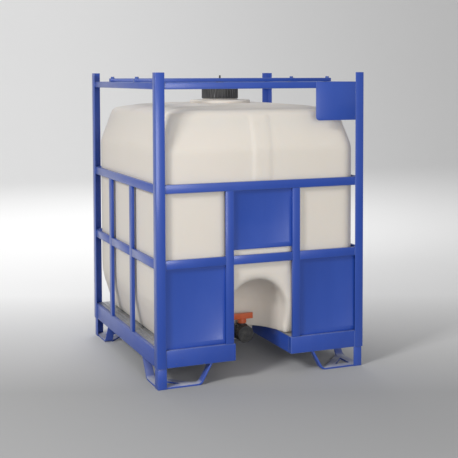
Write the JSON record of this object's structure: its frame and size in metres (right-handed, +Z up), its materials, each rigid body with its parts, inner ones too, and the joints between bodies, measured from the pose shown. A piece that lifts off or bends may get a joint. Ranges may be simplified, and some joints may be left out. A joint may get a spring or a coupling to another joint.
{
  "type": "intermediate bulk container",
  "caption": "Stackable bulk liquid container: moulded tank in an angle-post steel frame on strap feet, with a screw lid and a bottom outlet valve in a niche.",
  "frame": {"origin": "on the ground under the middle of the frame", "axes": "+Z up, outlet valve towards -Y, +X to the right seen from the valve side"},
  "size_m": [1.1, 1.15, 1.495],
  "materials": {
    "frame_blue": "satin blue paint on welded mild steel",
    "sheet_blue": "satin blue paint on thin steel sheet",
    "galvanised_tray": "dull galvanised steel plate",
    "tank_polyethylene": "natural rotomoulded polyethylene, slightly translucent",
    "lid_black": "black moulded plastic",
    "valve_black": "black moulded plastic",
    "handle_orange_red": "orange-red moulded plastic",
    "seal_rubber": "black elastomer",
    "disc_grey": "grey engineering plastic"
  },
  "bodies": {
    "container": {"post_fl": "frame_blue", "leg_fl": "frame_blue", "foot_strap_fl": "frame_blue", "post_fr": "frame_blue", "leg_fr": "frame_blue", "foot_strap_fr": "frame_blue", "post_bl": "frame_blue", "leg_bl": "frame_blue", "foot_strap_bl": "frame_blue", "post_br": "frame_blue", "leg_br": "frame_blue", "foot_strap_br": "frame_blue", "top_rail_front": "frame_blue", "top_rail_back": "frame_blue", "top_rail_left": "frame_blue", "top_rail_right": "frame_blue", "mid_rail_front": "frame_blue", "mid_rail_back": "frame_blue", "mid_rail_left": "frame_blue", "mid_rail_right": "frame_blue", "low_rail_front": "frame_blue", "low_rail_back": "frame_blue", "low_rail_left": "frame_blue", "low_rail_right": "frame_blue", "bar_front_1": "frame_blue", "bar_front_2": "frame_blue", "bar_back_1": "frame_blue", "bar_back_2": "frame_blue", "bar_left_1": "frame_blue", "bar_left_2": "frame_blue", "bar_right_1": "frame_blue", "bar_right_2": "frame_blue", "base_rail_front_1": "frame_blue", "base_rail_front_2": "frame_blue", "base_rail_back": "frame_blue", "base_rail_left": "frame_blue", "base_rail_right": "frame_blue", "base_runner_1": "frame_blue", "base_runner_2": "frame_blue", "tie_bar_1": "frame_blue", "tie_bar_2": "frame_blue", "infill_sheet_upper": "sheet_blue", "infill_sheet_lower_1": "sheet_blue", "infill_sheet_lower_2": "sheet_blue", "marking_plate": "sheet_blue", "floor_tray": "galvanised_tray", "tank": "tank_polyethylene", "tank_neck": "tank_polyethylene", "valve_body": "valve_black", "valve_nut": "valve_black"},
    "lid_carrier": {"lid_seal": "seal_rubber"},
    "lid": {"lid": "lid_black"},
    "vent": {"vent_cap": "lid_black"},
    "valve_spindle": {"valve_flap": "disc_grey", "valve_handle": "handle_orange_red"},
    "cap_carrier": {"outlet_seal": "seal_rubber"},
    "outlet_cap": {"outlet_cap": "valve_black"}
  },
  "joints": [
    {"name": "lid_lift", "type": "slide", "parent": "container", "child": "lid_carrier", "axis": [0, 0, 1], "range_m": [0, 0.06]},
    {"name": "lid_turn", "type": "hinge", "parent": "lid_carrier", "child": "lid", "pos_m": [0, 0, 1.4], "axis": [0, 0, 1], "range_deg": [0, 1728.5]},
    {"name": "vent_lift", "type": "slide", "parent": "lid", "child": "vent", "axis": [0, 0, 1], "range_m": [0, 0.004]},
    {"name": "valve_turn", "type": "hinge", "parent": "container", "child": "valve_spindle", "pos_m": [-0.015, -0.33, 0.172], "axis": [0, 0, 1], "range_deg": [0, 90]},
    {"name": "cap_pull", "type": "slide", "parent": "container", "child": "cap_carrier", "axis": [0, -1, 0], "range_m": [0, 0.03]},
    {"name": "cap_turn", "type": "hinge", "parent": "cap_carrier", "child": "outlet_cap", "pos_m": [-0.015, -0.36, 0.172], "axis": [0, -1, 0], "range_deg": [0, 1800.5]}
  ],
  "couplings": [
    {"joint": "lid_turn", "follows": "lid_lift", "rad_per_m": 502.65},
    {"joint": "cap_turn", "follows": "cap_pull", "rad_per_m": 1047.2}
  ]
}
